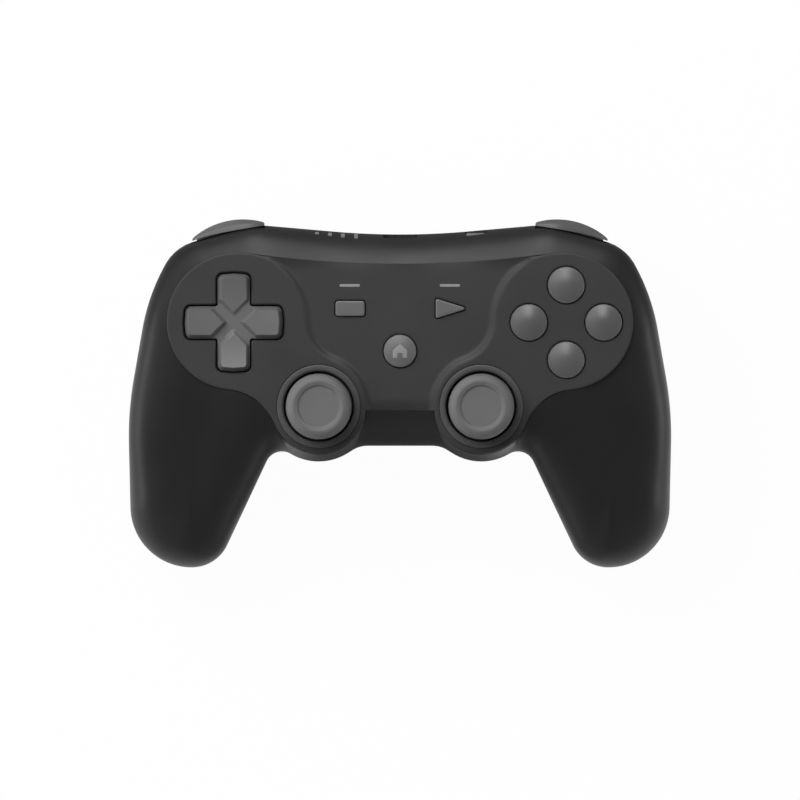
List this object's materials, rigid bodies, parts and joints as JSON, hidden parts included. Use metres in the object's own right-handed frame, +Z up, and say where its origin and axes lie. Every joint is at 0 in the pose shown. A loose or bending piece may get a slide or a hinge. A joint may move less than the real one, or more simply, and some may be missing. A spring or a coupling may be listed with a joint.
{
  "type": "gamepad controller",
  "caption": "Wireless two-grip game controller with a cross pad, round action buttons, thumbsticks, shoulder bumpers, hinged triggers and a charge port.",
  "frame": {"origin": "on the table, under the middle of the controller's bounding box", "axes": "+X to the player's right, +Y to the shoulder edge, +Z up out of the face"},
  "size_m": [0.1598, 0.1026, 0.0525],
  "materials": {
    "shell_black": "fine moulded texture",
    "plate_grey": "satin",
    "ring_grey": "satin",
    "control_grey": "satin",
    "button_grey": "semi-gloss",
    "stick_rubber": "matt",
    "membrane_rubber": "matt",
    "inner_plastic": "plain",
    "steel": "plain",
    "switch_plastic": "plain",
    "board_green": "coated",
    "battery_wrap": "foil",
    "lens_smoke": "clear smoke"
  },
  "bodies": {
    "housing": {"upper_shell": "shell_black", "lower_shell": "shell_black", "trigger_housing_left": "shell_black", "trigger_housing_right": "shell_black", "face_plate": "plate_grey", "stick_ring_left": "ring_grey", "stick_ring_right": "ring_grey", "dpad_membrane": "membrane_rubber", "face_membrane": "membrane_rubber", "centre_membrane": "membrane_rubber", "dpad_post": "inner_plastic", "stick_base_left": "steel", "stick_base_right": "steel", "trigger_pin_left": "steel", "trigger_pin_right": "steel", "trigger_spring_left": "steel", "trigger_spring_right": "steel", "charge_port": "steel", "rumble_motor_left": "steel", "rumble_motor_right": "steel", "case_screws": "steel", "bumper_switch_left": "switch_plastic", "bumper_switch_right": "switch_plastic", "sync_switch": "switch_plastic", "main_board": "board_green", "battery_pack": "battery_wrap", "indicator_lenses": "lens_smoke"},
    "dpad_bead": {"dpad_bead": "steel"},
    "dpad": {"dpad": "control_grey"},
    "button_top": {"button_top": "button_grey"},
    "button_right": {"button_right": "button_grey"},
    "button_bottom": {"button_bottom": "button_grey"},
    "button_left": {"button_left": "button_grey"},
    "select_button": {"select_button": "control_grey"},
    "start_button": {"start_button": "control_grey"},
    "home_button": {"home_button": "control_grey"},
    "sync_button": {"sync_button": "control_grey"},
    "stick_yoke_left": {"stick_yoke_left": "steel"},
    "stick_yoke_right": {"stick_yoke_right": "steel"},
    "stick_pivot_left": {"stick_pivot_left": "inner_plastic"},
    "stick_pivot_right": {"stick_pivot_right": "inner_plastic"},
    "thumbstick_left": {"thumbstick_left": "stick_rubber"},
    "thumbstick_right": {"thumbstick_right": "stick_rubber"},
    "bumper_left": {"bumper_left": "control_grey"},
    "bumper_right": {"bumper_right": "control_grey"},
    "trigger_left": {"trigger_left": "shell_black"},
    "trigger_right": {"trigger_right": "shell_black"},
    "rumble_weight_left": {"rumble_weight_left": "steel"},
    "rumble_weight_right": {"rumble_weight_right": "steel"}
  },
  "joints": [
    {"name": "dpad_up_down", "type": "hinge", "parent": "housing", "child": "dpad_bead", "pos_m": [-0.0489, 0.0209, 0.0385], "axis": [1, 0, 0], "range_deg": [-5, 5], "stiffness_Nm_per_rad": 0.05},
    {"name": "dpad_left_right", "type": "hinge", "parent": "dpad_bead", "child": "dpad", "pos_m": [-0.0489, 0.0209, 0.0385], "axis": [0, 1, 0], "range_deg": [-5, 5], "stiffness_Nm_per_rad": 0.05},
    {"name": "button_top_press", "type": "slide", "parent": "housing", "child": "button_top", "axis": [0, 0, -1], "range_m": [0, 0.0012], "stiffness_N_per_m": 400, "springref_m": -0.0004},
    {"name": "button_right_press", "type": "slide", "parent": "housing", "child": "button_right", "axis": [0, 0, -1], "range_m": [0, 0.0012], "stiffness_N_per_m": 400, "springref_m": -0.0004},
    {"name": "button_bottom_press", "type": "slide", "parent": "housing", "child": "button_bottom", "axis": [0, 0, -1], "range_m": [0, 0.0012], "stiffness_N_per_m": 400, "springref_m": -0.0004},
    {"name": "button_left_press", "type": "slide", "parent": "housing", "child": "button_left", "axis": [0, 0, -1], "range_m": [0, 0.0012], "stiffness_N_per_m": 400, "springref_m": -0.0004},
    {"name": "select_press", "type": "slide", "parent": "housing", "child": "select_button", "axis": [0, 0, -1], "range_m": [0, 0.0008], "stiffness_N_per_m": 600, "springref_m": -0.0004},
    {"name": "start_press", "type": "slide", "parent": "housing", "child": "start_button", "axis": [0, 0, -1], "range_m": [0, 0.0008], "stiffness_N_per_m": 600, "springref_m": -0.0004},
    {"name": "home_press", "type": "slide", "parent": "housing", "child": "home_button", "axis": [0, 0, -1], "range_m": [0, 0.0008], "stiffness_N_per_m": 600, "springref_m": -0.0004},
    {"name": "stick_left_up_down", "type": "hinge", "parent": "housing", "child": "stick_yoke_left", "pos_m": [-0.0239, -0.0038, 0.033], "axis": [1, 0, 0], "range_deg": [-17, 17], "stiffness_Nm_per_rad": 0.02},
    {"name": "stick_left_left_right", "type": "hinge", "parent": "stick_yoke_left", "child": "stick_pivot_left", "pos_m": [-0.0239, -0.0038, 0.033], "axis": [0, 1, 0], "range_deg": [-17, 17], "stiffness_Nm_per_rad": 0.02},
    {"name": "stick_left_press", "type": "slide", "parent": "stick_pivot_left", "child": "thumbstick_left", "axis": [0, 0, -1], "range_m": [0, 0.0006], "stiffness_N_per_m": 3000, "springref_m": -0.0003},
    {"name": "bumper_left_press", "type": "hinge", "parent": "housing", "child": "bumper_left", "pos_m": [-0.0505, 0.0472, 0.0355], "axis": [-0.9779, -0.209, 0], "range_deg": [0, 6], "stiffness_Nm_per_rad": 0.05, "springref_deg": -5.73},
    {"name": "trigger_left_pull", "type": "hinge", "parent": "housing", "child": "trigger_left", "pos_m": [-0.0505, 0.0415, 0.023], "axis": [-1, 0, 0], "range_deg": [0, 15], "stiffness_Nm_per_rad": 0.1, "springref_deg": -8.59},
    {"name": "rumble_left_spin", "type": "hinge", "parent": "housing", "child": "rumble_weight_left", "pos_m": [-0.062, -0.031, 0.017], "axis": [0, 1, 0], "continuous": true},
    {"name": "stick_right_up_down", "type": "hinge", "parent": "housing", "child": "stick_yoke_right", "pos_m": [0.0239, -0.0038, 0.033], "axis": [1, 0, 0], "range_deg": [-17, 17], "stiffness_Nm_per_rad": 0.02},
    {"name": "stick_right_left_right", "type": "hinge", "parent": "stick_yoke_right", "child": "stick_pivot_right", "pos_m": [0.0239, -0.0038, 0.033], "axis": [0, 1, 0], "range_deg": [-17, 17], "stiffness_Nm_per_rad": 0.02},
    {"name": "stick_right_press", "type": "slide", "parent": "stick_pivot_right", "child": "thumbstick_right", "axis": [0, 0, -1], "range_m": [0, 0.0006], "stiffness_N_per_m": 3000, "springref_m": -0.0003},
    {"name": "bumper_right_press", "type": "hinge", "parent": "housing", "child": "bumper_right", "pos_m": [0.0505, 0.0472, 0.0355], "axis": [-0.9779, 0.209, 0], "range_deg": [0, 6], "stiffness_Nm_per_rad": 0.05, "springref_deg": -5.73},
    {"name": "trigger_right_pull", "type": "hinge", "parent": "housing", "child": "trigger_right", "pos_m": [0.0505, 0.0415, 0.023], "axis": [-1, 0, 0], "range_deg": [0, 15], "stiffness_Nm_per_rad": 0.1, "springref_deg": -8.59},
    {"name": "rumble_right_spin", "type": "hinge", "parent": "housing", "child": "rumble_weight_right", "pos_m": [0.062, -0.031, 0.017], "axis": [0, 1, 0], "continuous": true},
    {"name": "sync_press", "type": "slide", "parent": "housing", "child": "sync_button", "axis": [0, -1, 0], "range_m": [0, 0.0005], "stiffness_N_per_m": 1500, "springref_m": -0.0003}
  ]
}
